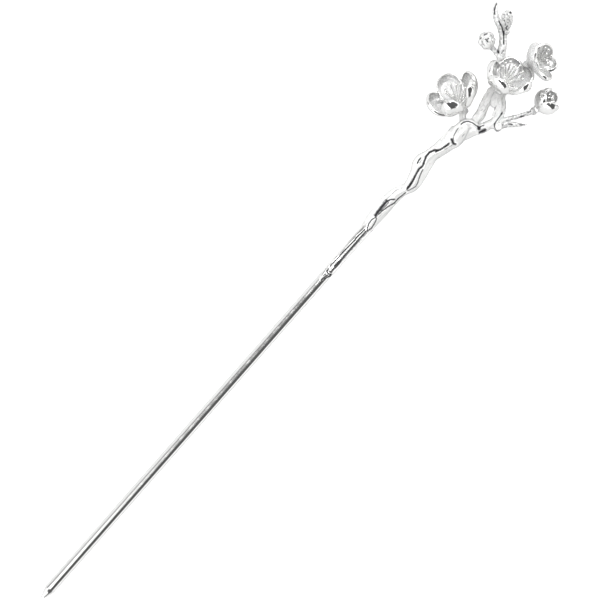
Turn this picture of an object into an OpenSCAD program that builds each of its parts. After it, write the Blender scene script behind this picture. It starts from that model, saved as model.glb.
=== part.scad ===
// Silver hair stick: a round pin whose thick end grows into a gnarled plum branch with blossoms and buds.
// It lies on a surface at z = 0, the pin along X with its point at the -X end, the blossoms facing up.

/* [Pin] */
// Length of the straight rod from its point to the branch's shoulder, in mm
pin_l = 105; // [70:1:140]
// Diameter of the pin
pin_d = 2.66; // [2.5:0.02:2.8]
// Length of the cone at the point
point_l = 2.6; // [1.5:0.1:5]
// Diameter of the blunt end of the cone
point_d = 0.8; // [0.5:0.1:1.2]
// Length of the branch's round foot, flush with the pin, that its leaf lies on
foot_l = 4.4; // [4.2:0.1:5]
// Diameter of the tenon that holds the pin in the branch
tenon_d = 1.8; // [1.4:0.1:2]
// Length of that tenon
tenon_l = 6; // [4:0.5:8]

/* [Blossoms] */
// Thickness of a petal
petal_t = 0.6; // [0.5:0.05:0.8]
// Diameter of a stamen's filament at its foot
filament_d = 0.5; // [0.4:0.05:0.6]
// Diameter of a stamen's head
anther_d = 0.85; // [0.7:0.05:1]
// Diameter of the calyx at the back of a blossom
calyx_d = 2.8; // [2.4:0.1:3]

/* [Joints] */
// Diameter of the peg that holds a flower on its stem, in diameters of its calyx
peg_share = 0.36; // [0.3:0.02:0.4]
// Length of the peg beyond the calyx, in diameters of its calyx
peg_reach = 0.35; // [0.25:0.05:0.4]
// Gap all round between one piece and the next
gap = 0.05; // [0.03:0.01:0.08]

/* [Hidden] */

pin_r = pin_d / 2;
// How far the head reaches beyond the pin's shoulder
head_l = 75.4;
// Middle of the whole width, from the pin's axis, plus to the left
middle_y = -1.55;
silver = [0.86, 0.87, 0.88];
bright_silver = [0.93, 0.94, 0.95];

// Columns of a limb's rows: x and y from the end of the pin's axis, height over the surface, radius
X = 0;
Y = 1;
Z = 2;
R = 3;

// A leaf that laps over the round foot, and the straight collar behind it
LEAF = [[-3.4, 0.1, 2.2, 0.6], [-2, 0.1, 2, 1.05], [0, 0, 1.75, 1.5], [3, 0, 1.7, 1.5]];
COLLAR = [
    [0.4, 0, 1.65, 1.55], [6, 0, 1.65, 1.5], [12, 0, 1.8, 1.6], [15.5, -0.1, 2, 1.35], [17, -0.2, 2.1, 0.9],
];
// Strands side by side make the gnarled limb, and their ends overlap in creases
STRANDS = [
    [[12.5, 0.6, 1.5, 0.8], [16, 1, 1.9, 1.05], [20, 0.9, 2.2, 1.3], [23.5, 0.6, 2.4, 1.35],
     [26.5, 0.1, 2.1, 0.8]],
    [[14, -0.5, 1.5, 0.8], [18, -0.6, 1.8, 1], [22, -0.7, 2, 0.9], [26, -1, 2, 0.8], [28, -1.5, 2, 0.6]],
    [[25.5, -0.9, 1.6, 0.7], [28.3, -1.9, 2, 1.15], [31.5, -1.7, 2.1, 1.1], [34, -1.3, 2.2, 1],
     [37, -1.1, 2, 0.7]],
    [[25, -0.3, 1.8, 0.7], [28.5, -0.6, 2.1, 1.2], [31.5, 0.2, 2.4, 1.4], [33.5, 1, 2.5, 1.55],
     [36, 0.8, 2.2, 1.1], [38.5, 0.3, 2, 1]],
    [[37, 0.2, 1.8, 0.9], [40, 0, 2.2, 1.15], [43, -0.4, 2.4, 1.25], [46, -0.9, 2.4, 1]],
    [[35.5, -0.6, 1.6, 0.8], [38, -1.2, 1.9, 0.95], [41, -2, 2, 1.05], [44, -3, 1.9, 0.8]],
    [[48, -1.7, 2.6, 1], [45.6, -2, 3, 1.3], [43.6, -2.6, 2.7, 1.1]],
    [[43, -0.3, 2.2, 0.9], [45.5, -0.5, 2.7, 1], [48.2, -1.3, 2.9, 1], [49, -3.2, 2.8, 0.95],
     [48.4, -5, 2.3, 0.8]],
    [[45.5, -3.3, 1.6, 0.9], [48, -4, 1.9, 1.25], [50, -5.2, 2, 1.25], [52.5, -6, 2.1, 1]],
];

// Legs of the fork, the web between them and the neck under the middle blossom
LEGS = [
    [[49.2, -2.7, 2, 1.15], [50.7, -2.5, 2.1, 1.3], [52.3, -2.4, 2.3, 1.3], [54.3, -1.7, 2.5, 1.25],
     [56.2, -1.3, 2.6, 1.3], [58.2, -1.1, 2.7, 1.3], [60.2, -1.6, 2.7, 1.2]],
    [[52, -6.4, 2, 1.15], [53.8, -6.1, 2.1, 1.35], [55.2, -5.6, 2.3, 1.4], [56.6, -4.7, 2.5, 1.4],
     [57.9, -3.3, 2.6, 1.4], [59.5, -2.4, 2.7, 1.35], [61.3, -2, 2.6, 1.2]],
    [[55.8, -3.4, 2.2, 0.9], [57, -3.1, 2.5, 1.4], [58.5, -2.6, 2.7, 1.4], [60, -2.1, 2.6, 1.1]],
];
// The upper twig and the stem of the right blossom, the right twig and its thorn, and the stems at the left
TWIGS = [
    [[59, -2.5, 2.5, 1.3], [61.5, -0.6, 2.1, 1.1], [64.2, 1.6, 1.8, 1], [66, 3.3, 1.9, 1.1],
     [67.9, 4.4, 1.9, 1], [69.8, 6, 1.8, 0.95], [71, 7.8, 1.7, 0.95], [71.7, 9.6, 1.6, 0.85],
     [73, 11.3, 1.5, 0.7], [74.5, 12.2, 1.4, 0.5]],
    [[60, -3, 2.4, 1.2], [63.5, -3.4, 1.8, 0.95], [66, -3.3, 1.8, 0.9]],
    [[54, -7.3, 2.1, 0.9], [54.9, -7.8, 2.05, 0.62], [56, -8.5, 1.95, 0.58], [58, -9.9, 1.75, 0.56],
     [60.2, -11.2, 1.6, 0.6], [61.3, -11.8, 1.6, 0.7]],
    [[52.5, -7.7, 2, 0.85], [53.6, -8.3, 1.8, 0.8], [54.7, -9.3, 1.7, 0.75], [55.8, -10.6, 1.6, 0.62],
     [56.7, -11.7, 1.6, 0.4], [57.5, -12.6, 1.6, 0.18]],
    [[47.6, -0.8, 2.1, 0.9], [49, 0.6, 1.8, 0.85]],
    [[65.3, 3.3, 1.85, 0.76], [65.62, 4.4, 1.7, 0.68]],
    [[69.6, 5.5, 1.8, 0.7], [70.7, 5.9, 2, 0.6]],
];
// Low knots along the limb, drawn out from one end to the other
KNOTS = [
    [[18, 1.9, 2.3, 0.45], [21.5, 2, 2.5, 0.5]],
    [[24.5, 0.7, 3.4, 0.35], [22.5, 0.9, 3.4, 0.4]],
    [[32, 0.5, 3.5, 0.4], [34.6, 1.5, 3.6, 0.45]],
    [[37.2, -0.8, 2.6, 0.45], [36, -1, 2.7, 0.45]],
    [[41.5, 0.7, 2.7, 0.4], [43.8, 0.5, 3, 0.4]],
    [[50.4, -4.6, 3, 0.4], [48.9, -4.3, 2.9, 0.4]],
    [[53.4, -5.1, 3.2, 0.35], [56.4, -4.2, 3.4, 0.4]],
    [[52.2, -2.2, 3.1, 0.35], [55.6, -1.9, 3.4, 0.4]],
];
// The cut stub of a side shoot: its middle and radius, and the healed ring round its cut face
STUB = [52.4, -7.7, 2.4];
stub_r = 1.2;
stub_ring_r = 0.74;
stub_ring_d = 0.72;
stub_ring_z = 0.55;

// Flowers and buds: where each sits (x, y, height), which way it faces (turn about Z, rise over the surface),
// the diameter of its calyx, and where its stem ends
AT = 0;
FACES = 1;
CALYX = 2;
STEM = 3;
LEFT = [[50.1, 2.7, 2.76], [78, 39], calyx_d, [49.2, 0.7, 1.7, 0.8]];
MIDDLE = [[61, -1.7, 5.6], [11, 40], calyx_d, [59.6, -1.9, 2.7, 1.3]];
RIGHT = [[69.6, -3.8, 2.53], [-33, 42], calyx_d * 0.9, [66, -3.3, 1.9, 0.8]];
BUD_RIGHT = [[62.4, -11.9, 1.9], [-14, 26], 2.2, [60.8, -11.4, 1.6, 0.6]];
BUD_SMALL = [[66, 7.1, 2.1], [80, 62], 1.8, [65.7, 4.7, 1.6, 0.6]];
BUD_TOP = [[71.8, 6.5, 3.3], [43, 20], 1.5, [70.7, 5.9, 2.1, 0.6]];
FLOWERS = [LEFT, MIDDLE, RIGHT, BUD_RIGHT, BUD_SMALL, BUD_TOP];
// The boss that a stem ends in: its radius, and how far it lies under the calyx, in calyx diameters
boss_r = 0.45;
boss_depth = 0.75;
// How far the round of the calyx lies under the petals' foot, in its diameters
calyx_depth = 0.15;

// Columns of a petal's row: turn about the flower's axis, rise of its chord, length along it, width, curl
TURN = 0;
RISE = 1;
LENGTH = 2;
WIDTH = 3;
CURL = 4;
LEFT_PETALS = [
    [-13, 47, 9.1, 8, 73],
    [63, 54, 9.7, 8.6, 118],
    [159, 60, 11.5, 6.3, 104],
    [222, 55, 12.1, 6.5, 89],
    [279, 47, 9.9, 7.4, 98],
];
MIDDLE_PETALS = [
    [3, 49, 7.8, 7.3, 97],
    [96, 53, 7.6, 8.5, 134],
    [171, 49, 10.8, 7.2, 105],
    [241, 57, 10.3, 4.4, 117],
    [313, 43, 8.6, 7.9, 99],
];
RIGHT_PETALS = [
    [64, 54, 6.3, 7.6, 63],
    [-27, 45, 6.5, 4.8, 87],
    [249, 43, 7.3, 6, 52],
    [146, 50, 8.6, 7.3, 103],
    [186, 51, 6.5, 6.1, 94],
];
BUD_RIGHT_PETALS = [
    [82, 71, 6.6, 5.2, 111],
    [11, 61, 6.4, 5.2, 107],
    [141, 61, 6.2, 5.4, 115],
    [213, 61, 6.9, 4.8, 114],
    [272, 59, 5.6, 5.3, 91],
];
// Petals and sepals of a closed bud: turn about its axis, and size
SIZE = 1;
FOLDED_PETALS = [[0, 1], [69, 0.95], [147, 1.02], [214, 0.97], [290, 1.01]];
FOLDED_SEPALS = [[33, 0.98], [111, 1.02], [181, 0.96], [250, 1], [328, 0.95]];
// Lobes of the closed buds, a petal and a sepal of each: how far out, how high, radius
OUT = 0;
HIGH = 1;
ROUND = 2;
BUD_SMALL_PETAL = [[0.5, 0.8, 0.8], [1, 2.2, 1.3], [0.5, 3.3, 0.9]];
BUD_SMALL_SEPAL = [[0.3, 0, 0.7], [1.5, 1.2, 0.6]];
BUD_TOP_PETAL = [[0.4, 0.6, 0.7], [0.75, 2, 0.8], [0.65, 3.6, 0.65]];
BUD_TOP_SEPAL = [[0.3, 0, 0.5], [1, 1.3, 0.4]];

// Columns of a stamen's row: turn about the flower's axis, lean away from it, length
LEAN = 1;
LEFT_STAMENS = [
    [18, 21, 5.6], [73, 36, 5.6], [-61, 29, 5.4], [-100, 44, 5.2],
    [-31, 24, 5.8], [-76, 38, 5.6], [180, 20, 5.2], [60, 12, 5.4],
];
MIDDLE_STAMENS = [
    [80, 36, 5.4], [103, 25, 5.2], [65, 24, 5.3], [25, 28, 5.5],
    [-4, 17, 5.2], [-22, 36, 5.8], [-51, 38, 5.5], [-86, 42, 5.2],
];
RIGHT_STAMENS = [
    [76, 32, 5], [62, 24, 5.2], [90, 13, 4.8], [-141, 9, 4.8],
    [-113, 15, 4.8], [106, 38, 4.8], [-91, 22, 5.2], [10, 24, 4.8],
];
BUD_RIGHT_STAMENS = [
    [3, 13, 4], [68, 16, 4.2], [141, 12, 3.9], [221, 15, 4.1],
    [286, 14, 4], [37, 5, 4.5], [176, 7, 4.4], [255, 3, 4.3],
];

// Rings of a petal from the middle of its face, round its edge, to the middle of its back:
// how far out on the petal, and how high over its middle surface in half thicknesses
PETAL_RINGS = [[0.45, 1], [0.75, 1], [0.96, 0.9], [0.96, -0.9], [0.75, -1], [0.45, -1]];
petal_sides = 12;
bud_petal_sides = 10;
// Share of a petal's width at its foot
petal_foot = 0.62;
// Form of a flower's petals: radius across in shares of the width, how much more the end curls in than the
// foot, and how far the belly stands out beyond that curve
CUP = 0;
FOLD = 1;
BELLY = 2;
LEFT_FORM = [0.54, 1.3, 0.6];
MIDDLE_FORM = [0.53, 1.3, 0.6];
RIGHT_FORM = [0.4, 1, 0.5];
BUD_RIGHT_FORM = [0.52, 1, 0.2];
// The belly begins this far out on the petal
belly_start = 0.3;
// Steps along a petal's middle line when its curve is summed up
petal_steps = 24;

function unit(v) = v / norm(v);
function place_of(row) = [row[X], row[Y], row[Z]];
function spline(a, b, c, d, t) =
    (2 * b + (c - a) * t + (2 * a - 5 * b + 4 * c - d) * pow(t, 2) + (3 * b - a - 3 * c + d) * pow(t, 3)) / 2;
function smooth_rows(rows, steps) = let (last = len(rows) - 1) [
    for (i = [0 : last - 1], k = [0 : steps - 1])
        spline(rows[max(i - 1, 0)], rows[i], rows[i + 1], rows[min(i + 2, last)], k / steps),
    rows[last]
];

// A closed skin over rings of equally many points, with one point beyond each end
module skin(rings, first, final) {
    n = len(rings[0]);
    m = len(rings);
    points = [first, for (ring = rings) each ring, final];
    end = len(points) - 1;
    faces = [
        for (k = [0 : n - 1]) [0, 1 + k, 1 + (k + 1) % n],
        for (i = [0 : m - 2], k = [0 : n - 1])
            let (a = 1 + i * n + k, b = 1 + i * n + (k + 1) % n)
            each [[a, a + n, b], [b, a + n, b + n]],
        for (k = [0 : n - 1]) [end, end - n + (k + 1) % n, end - n + k]
    ];
    polyhedron(points, faces, convexity = 8);
}

// A round limb along rows of x, y, height and radius, with flutes cut along it and a dome on each end
module limb(rows, sides, steps = 1, flutes = 5, depth = 0, twist = 0) {
    path = smooth_rows(rows, steps);
    last = len(path) - 1;
    function along(i) = unit(place_of(path[min(i + 1, last)]) - place_of(path[max(i - 1, 0)]));
    function ring(i, shift, share) =
        let (ahead = along(i), side = unit(cross([0, 0, 1], ahead)), up = cross(ahead, side), r = path[i][R])
        [for (k = [0 : sides - 1])
            let (
                turn = 360 * k / sides,
                radius = share * r * (1 - depth * (1 + cos(flutes * turn + twist * i)) / 2)
            )
            place_of(path[i]) + shift * r * ahead + radius * (cos(turn) * side + sin(turn) * up)];
    rings = [ring(0, -0.5, 0.75), for (i = [0 : last]) ring(i, 0, 1), ring(last, 0.5, 0.75)];
    first = place_of(path[0]) - 0.8 * path[0][R] * along(0);
    final = place_of(path[last]) + 0.8 * path[last][R] * along(last);
    skin(rings, first, final);
}

// One cupped petal growing from the flower's axis towards +X, its face up
module petal(p, form, sides = petal_sides) {
    start = p[RISE] - p[CURL] / 2;
    cup = form[CUP] * p[WIDTH];
    function lean_at(share) = start + p[CURL] * pow(share, form[FOLD]);
    // The place of a share of the petal's middle line, summed up in short steps from its foot
    function along(share) =
        let (
            leans = [for (k = [0.5 : petal_steps]) lean_at(share * k / petal_steps)],
            step = p[LENGTH] * share / petal_steps,
            ones = [for (lean = leans) 1]
        )
        step * [[for (lean = leans) cos(lean)] * ones, 0, [for (lean = leans) sin(lean)] * ones];
    function point(out, turn, lift) =
        let (
            share = (1 + out * cos(turn)) / 2,
            lean = lean_at(share),
            half = p[WIDTH] / 2 * (petal_foot + (1 - petal_foot) * sqrt(share)),
            swing = out * sign(sin(turn)) * pow(abs(sin(turn)), 0.8) * half / cup * 180 / PI,
            normal = [-sin(lean) * cos(swing), -sin(swing), cos(lean) * cos(swing)],
            height = cup * (1 - cos(swing)),
            round_out = max(0, out - belly_start) / (1 - belly_start),
            belly = form[BELLY] * sin(180 * round_out) * sqrt(share)
        )
        along(share) + [0, cup * sin(swing), 0] + height * [-sin(lean), 0, cos(lean)]
            + (lift * petal_t / 2 - belly) * normal;
    rings = [for (ring = PETAL_RINGS) [for (k = [0 : sides - 1]) point(ring[0], -360 * k / sides, ring[1])]];
    skin(rings, point(0, 0, 1), point(0, 0, -1));
}

// A straight filament with a round head
module stamen(row) {
    rotate([0, row[LEAN], row[TURN]]) {
        hull() {
            sphere(d = filament_d * 1.3, $fn = 4);
            translate([0, 0, row[LENGTH]]) sphere(d = filament_d * 0.8, $fn = 4);
        }
        translate([0, 0, row[LENGTH]]) sphere(d = anther_d, $fn = 5);
    }
}

// The round calyx and its peg, or with room all round the seat that they sit in
module calyx(d, room = 0) {
    translate([0, 0, -d * calyx_depth]) sphere(r = d / 2 + room, $fn = 10);
    peg_end = d * (calyx_depth + 0.5 + peg_reach) + room;
    translate([0, 0, -peg_end]) cylinder(d = peg_share * d + 2 * room, h = d / 2, $fn = 12);
}

module seated(flower) {
    translate(flower[AT]) rotate([0, 90 - flower[FACES][1], flower[FACES][0]]) children();
}

// The head is drawn from the shoulder of the pin, and the whole stick is centred over its base
module placed() {
    translate([(pin_l - head_l) / 2, -middle_y, 0]) children();
}

// An open blossom or a half open bud: petals, stamens and calyx soldered together
module blossom(petals, form, stamens, d, sides = petal_sides) {
    for (p = petals) rotate([0, 0, p[TURN]]) petal(p, form, sides);
    for (s = stamens) stamen(s);
    calyx(d);
}

// Folded petals or sepals of a closed bud, each drawn through the round lobes of its rows
module folded(leaves, lobes, sides) {
    for (leaf = leaves) rotate([0, 0, leaf[TURN]]) scale(leaf[SIZE])
        hull() for (lobe = lobes) translate([lobe[OUT], 0, lobe[HIGH]]) sphere(r = lobe[ROUND], $fn = sides);
}

// A closed bud: five petals folded together over five sepals
module closed_bud(petal_rows, sepal_rows, d) {
    folded(FOLDED_PETALS, petal_rows, 9);
    folded(FOLDED_SEPALS, sepal_rows, 7);
    calyx(d);
}

module shank() color(bright_silver) placed() translate([0, 0, pin_r]) rotate([0, -90, 0]) {
    translate([0, 0, foot_l + gap - tenon_l]) cylinder(d = tenon_d, h = tenon_l + 1, $fn = 32);
    translate([0, 0, foot_l + gap]) cylinder(r = pin_r, h = pin_l - point_l - foot_l - gap, $fn = 64);
    translate([0, 0, pin_l - point_l]) cylinder(r1 = pin_r, r2 = point_d / 2, h = point_l, $fn = 64);
}

module stub() {
    translate(STUB) {
        scale([1, 0.9, 0.8]) sphere(r = stub_r, $fn = 10);
        translate([0, 0, stub_ring_z]) rotate_extrude($fn = 10)
            translate([stub_ring_r, 0]) circle(d = stub_ring_d, $fn = 5);
    }
}

module branch() color(silver) placed() difference() {
    union() {
        translate([0, 0, pin_r]) rotate([0, -90, 0]) cylinder(r = pin_r, h = foot_l, $fn = 32);
        limb(LEAF, sides = 16, depth = 0.05);
        limb(COLLAR, sides = 20, depth = 0.1, twist = 6);
        for (rows = STRANDS) limb(rows, sides = 8, steps = 2);
        for (rows = LEGS) limb(rows, sides = 10, depth = 0.14, twist = 25);
        for (rows = TWIGS) limb(rows, sides = 8);
        for (k = KNOTS) hull() for (row = k) translate(place_of(row)) sphere(r = row[R], $fn = 6);
        for (f = FLOWERS) hull() {
            seated(f) translate([0, 0, -boss_depth * f[CALYX]]) sphere(r = boss_r * f[CALYX], $fn = 10);
            translate(place_of(f[STEM])) sphere(r = f[STEM][R], $fn = 8);
        }
        stub();
    }
    translate([-foot_l - 1, 0, pin_r]) rotate([0, 90, 0])
        cylinder(r = tenon_d / 2 + gap, h = tenon_l + 1, $fn = 32);
    for (f = FLOWERS) seated(f) calyx(f[CALYX], gap);
}

module blossom_left() color(bright_silver) placed() seated(LEFT)
    blossom(LEFT_PETALS, LEFT_FORM, LEFT_STAMENS, LEFT[CALYX]);

module blossom_middle() color(bright_silver) placed() seated(MIDDLE)
    blossom(MIDDLE_PETALS, MIDDLE_FORM, MIDDLE_STAMENS, MIDDLE[CALYX]);

module blossom_right() color(bright_silver) placed() seated(RIGHT)
    blossom(RIGHT_PETALS, RIGHT_FORM, RIGHT_STAMENS, RIGHT[CALYX]);

module bud_right() color(bright_silver) placed() seated(BUD_RIGHT)
    blossom(BUD_RIGHT_PETALS, BUD_RIGHT_FORM, BUD_RIGHT_STAMENS, BUD_RIGHT[CALYX], bud_petal_sides);

module bud_small() color(bright_silver) placed() seated(BUD_SMALL)
    closed_bud(BUD_SMALL_PETAL, BUD_SMALL_SEPAL, BUD_SMALL[CALYX]);

module bud_top() color(bright_silver) placed() seated(BUD_TOP)
    closed_bud(BUD_TOP_PETAL, BUD_TOP_SEPAL, BUD_TOP[CALYX]);

shank();
branch();
blossom_left();
blossom_middle();
blossom_right();
bud_right();
bud_small();
bud_top();
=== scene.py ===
import math
from collections import namedtuple

import bpy
import numpy as np
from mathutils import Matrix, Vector, noise
from mathutils.kdtree import KDTree


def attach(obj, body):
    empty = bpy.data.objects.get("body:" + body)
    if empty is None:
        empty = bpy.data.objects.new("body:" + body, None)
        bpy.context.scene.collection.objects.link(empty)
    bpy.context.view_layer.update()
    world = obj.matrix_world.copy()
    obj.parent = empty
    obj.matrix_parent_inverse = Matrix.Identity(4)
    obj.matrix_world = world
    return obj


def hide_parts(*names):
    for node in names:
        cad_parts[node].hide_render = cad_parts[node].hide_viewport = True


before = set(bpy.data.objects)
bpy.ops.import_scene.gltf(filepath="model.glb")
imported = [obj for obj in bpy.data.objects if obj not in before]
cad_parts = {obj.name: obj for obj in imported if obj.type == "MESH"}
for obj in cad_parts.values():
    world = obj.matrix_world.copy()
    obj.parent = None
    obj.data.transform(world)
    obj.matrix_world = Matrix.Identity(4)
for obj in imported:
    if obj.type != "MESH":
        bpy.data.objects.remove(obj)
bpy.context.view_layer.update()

MM = 0.001

# Main sizes of the stick, in millimetres, as in the frame
PIN_LENGTH = 105.0
PIN_DIAMETER = 2.66
POINT_LENGTH = 2.6
POINT_DIAMETER = 0.8
HEAD_LENGTH = 75.4
MIDDLE_Y = -1.55
SHOULDER = np.array([(PIN_LENGTH - HEAD_LENGTH) / 2, -MIDDLE_Y, 0.0])
PETAL_THICKNESS = 0.6

# Share of satin skin left on the limb by the wheel; the fork keeps all of it
LIMB_SATIN = 0.68


# Camera: straight above the stick, turned so that it runs from the lower left to the upper right

CAMERA_AT = (4.6, 2.2, 1504)
CAMERA_TURN = -48.71
SENSOR_WIDTH = 36
FOCAL_LENGTH = 375


def place_camera():
    lens = bpy.data.cameras.new("camera")
    lens.sensor_width = SENSOR_WIDTH
    lens.lens = FOCAL_LENGTH
    lens.clip_start, lens.clip_end = 0.1, 20
    camera = bpy.data.objects.new("camera", lens)
    camera.location = [c * MM for c in CAMERA_AT]
    camera.rotation_euler = (0, 0, math.radians(CAMERA_TURN))
    bpy.context.scene.collection.objects.link(camera)
    bpy.context.scene.camera = camera


place_camera()


# Materials

# The colour sockets of a Mix node share their names with its others, so they go by number
FACTOR, UNDER, OVER, MIXED = 0, 6, 7, 2


def tint(code):
    """A colour from its sRGB hex value, as the linear values a shader takes."""
    parts = [int(code[i:i + 2], 16) / 255 for i in (1, 3, 5)]
    return (*[c / 12.92 if c <= 0.04045 else ((c + 0.055) / 1.055) ** 2.4 for c in parts], 1)


def add(tree, kind, inputs=None, stops=(), **settings):
    """Adds a node with its settings and links. An input takes a value, or an output to be linked to it. The
    stops of a colour ramp are rows of position and grey or hex value."""
    made = tree.nodes.new(kind)
    for name, value in settings.items():
        setattr(made, name, value)
    for name, value in (inputs or {}).items():
        if isinstance(value, bpy.types.NodeSocket):
            tree.links.new(value, made.inputs[name])
        else:
            made.inputs[name].default_value = value
    band = made.color_ramp.elements if stops else []
    while len(band) < len(stops):
        band.new(0.5)
    for stop, (place, value) in zip(band, stops):
        stop.position = place
        stop.color = tint(value) if isinstance(value, str) else (value, value, value, 1)
    return made


def lumps(size):
    """The scale of a noise whose lumps are about this many millimetres across."""
    return 1 / (size * MM)


def metal(name):
    """A metal material, its tree, its shader, and the place on the piece that patterns go by."""
    material = bpy.data.materials.new(name)
    material.use_nodes = True
    tree = material.node_tree
    shader = tree.nodes["Principled BSDF"]
    shader.inputs["Metallic"].default_value = 1
    place = add(tree, "ShaderNodeTexCoord").outputs["Object"]
    return material, tree, shader, place


def buffed_silver():
    # Sterling silver, drawn or cast and then buffed on a felt wheel: a bright, nearly neutral mirror.
    # The wheel leaves a faint haze, and hair-fine scratches that only break up its highlights.
    material, tree, shader, place = metal("silver_buffed")
    shader.inputs["Base Color"].default_value = tint("#f0f0ef")
    shader.inputs["Specular Tint"].default_value = tint("#ececec")
    haze = add(tree, "ShaderNodeTexNoise", {"Vector": place, "Scale": lumps(1.6), "Detail": 3})
    gloss = add(tree, "ShaderNodeMapRange", {
        "Value": haze.outputs["Fac"], "From Min": 0.35, "From Max": 0.65, "To Min": 0.05, "To Max": 0.12})
    tree.links.new(gloss.outputs["Result"], shader.inputs["Roughness"])
    # Wheel scratches 0.1 mm apart
    scratch = add(tree, "ShaderNodeTexNoise", {"Vector": place, "Scale": lumps(0.1), "Detail": 1})
    bump = add(tree, "ShaderNodeBump", {
        "Height": scratch.outputs["Fac"], "Strength": 0.04, "Distance": 0.01 * MM})
    tree.links.new(bump.outputs["Normal"], shader.inputs["Normal"])
    return material


def frosted_silver():
    # Sterling silver blasted with fine glass beads inside the petals: satin, greyer than the buffed rims,
    # with a crisp sparkle, and so finely dented that part of its light scatters as from plaster.
    # Real beads leave dents of 0.08 mm; they are drawn 0.3 mm wide so that they show.
    material, tree, shader, place = metal("silver_frosted")
    shader.inputs["Metallic"].default_value = 0.6
    dents = add(tree, "ShaderNodeTexNoise", {
        "Vector": place, "Scale": lumps(0.3), "Detail": 3, "Roughness": 0.7}).outputs["Fac"]
    colour = add(tree, "ShaderNodeValToRGB", {"Fac": dents}, stops=[
        (0.4, "#b6b6b8"), (0.5, "#f3f3f2"), (0.58, "#ffffff")])
    # Painted shade: darker in the corner under the rim and over the whole inside of some blossoms, more in
    # some places than in others
    kept = add(tree, "ShaderNodeAttribute", attribute_name="painted_shade")
    patchy = add(tree, "ShaderNodeTexNoise", {"Vector": place, "Scale": lumps(2.4), "Detail": 2})
    spread = add(tree, "ShaderNodeMapRange", {
        "Value": patchy.outputs["Fac"], "From Min": 0.35, "From Max": 0.65, "To Min": 0.1, "To Max": 1.1})
    amount = add(tree, "ShaderNodeMath", {
        0: kept.outputs["Fac"], 1: spread.outputs["Result"]}, operation="MULTIPLY", use_clamp=True)
    mixed = add(tree, "ShaderNodeMix", {
        FACTOR: amount.outputs["Value"], UNDER: colour.outputs["Color"], OVER: tint("#6c6c6e")},
        data_type="RGBA")
    tree.links.new(mixed.outputs[MIXED], shader.inputs["Base Color"])
    gloss = add(tree, "ShaderNodeMapRange", {
        "Value": dents, "From Min": 0.4, "From Max": 0.6, "To Min": 0.36, "To Max": 0.2})
    tree.links.new(gloss.outputs["Result"], shader.inputs["Roughness"])
    bump = add(tree, "ShaderNodeBump", {"Height": dents, "Strength": 0.8, "Distance": 0.07 * MM})
    tree.links.new(bump.outputs["Normal"], shader.inputs["Normal"])
    return material


def oxidised_silver():
    # The branch: cast sterling silver, dipped in liver of sulphur and rubbed back. The collar is buffed
    # bright, the limb eased, the fork keeps the pale satin skin of the casting, and the grooves stay grey.
    material, tree, shader, place = metal("silver_oxidised_rubbed_back")
    groove = add(tree, "ShaderNodeAttribute", attribute_name="groove").outputs["Fac"]
    satin = add(tree, "ShaderNodeAttribute", attribute_name="satin").outputs["Fac"]
    # Patina breaks up over 0.5 mm
    patchy = add(tree, "ShaderNodeTexNoise", {"Vector": place, "Scale": lumps(0.5), "Detail": 3})
    edge = add(tree, "ShaderNodeMapRange", {
        "Value": patchy.outputs["Fac"], "From Min": 0.3, "From Max": 0.7, "To Min": -0.15, "To Max": 0.15})
    depth = add(tree, "ShaderNodeMath", {
        0: groove, 1: edge.outputs["Result"]}, operation="ADD").outputs["Value"]
    dark = add(tree, "ShaderNodeValToRGB", {"Fac": depth}, stops=[
        (0.25, "#fbfbfa"), (0.5, "#a8a8a9"), (0.8, "#38383a")])
    # Casting skin, 0.3 mm lumps: they catch the light, and patina stays between them
    skin = add(tree, "ShaderNodeTexNoise", {
        "Vector": place, "Scale": lumps(0.3), "Detail": 3, "Roughness": 0.65}).outputs["Fac"]
    cast = add(tree, "ShaderNodeMapRange", {
        "Value": satin, "From Min": LIMB_SATIN, "From Max": 1}).outputs["Result"]
    worn = add(tree, "ShaderNodeValToRGB", {"Fac": skin}, stops=[(0.33, "#dadadb"), (0.46, "#ffffff")])
    stained = add(tree, "ShaderNodeMix", {
        FACTOR: cast, UNDER: dark.outputs["Color"], OVER: worn.outputs["Color"]},
        data_type="RGBA", blend_type="MULTIPLY")
    # Painted shade: seen edge on, the satin's colour is darkened, standing in for the shaded side of every
    # lump
    facing = add(tree, "ShaderNodeLayerWeight", {"Blend": 0.5})
    painted_edge_shade = add(tree, "ShaderNodeValToRGB", {"Fac": facing.outputs["Facing"]}, stops=[
        (0.2, "#ffffff"), (0.4, "#e8e8e8"), (0.6, "#c6c6c7"), (0.8, "#a0a0a1")])
    edged = add(tree, "ShaderNodeMix", {
        FACTOR: satin, UNDER: stained.outputs[MIXED], OVER: painted_edge_shade.outputs["Color"]},
        data_type="RGBA", blend_type="MULTIPLY")
    tree.links.new(edged.outputs[MIXED], shader.inputs["Base Color"])
    shader.inputs["Specular Tint"].default_value = tint("#e8e8e8")
    scatter = add(tree, "ShaderNodeMapRange", {"Value": satin, "To Min": 1, "To Max": 0.05})
    tree.links.new(scatter.outputs["Result"], shader.inputs["Metallic"])
    softer = add(tree, "ShaderNodeMapRange", {"Value": satin, "To Min": 0.09, "To Max": 0.42})
    # Patina takes the gloss off, on top of what the satin does
    dull = add(tree, "ShaderNodeMath", {
        0: depth, 1: 0.35, 2: softer.outputs["Result"]}, operation="MULTIPLY_ADD", use_clamp=True)
    tree.links.new(dull.outputs["Value"], shader.inputs["Roughness"])
    bite = add(tree, "ShaderNodeMapRange", {"Value": cast, "To Min": 0.04, "To Max": 0.55})
    bump = add(tree, "ShaderNodeBump", {
        "Height": skin, "Strength": bite.outputs["Result"], "Distance": 0.06 * MM})
    tree.links.new(bump.outputs["Normal"], shader.inputs["Normal"])
    return material


BUFFED = buffed_silver()
FROSTED = frosted_silver()
RUBBED_BACK = oxidised_silver()


# Meshes are worked out in millimetres and turned to metres when a piece is made

def unit(v):
    return v / np.linalg.norm(v, axis=-1, keepdims=True)


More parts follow.
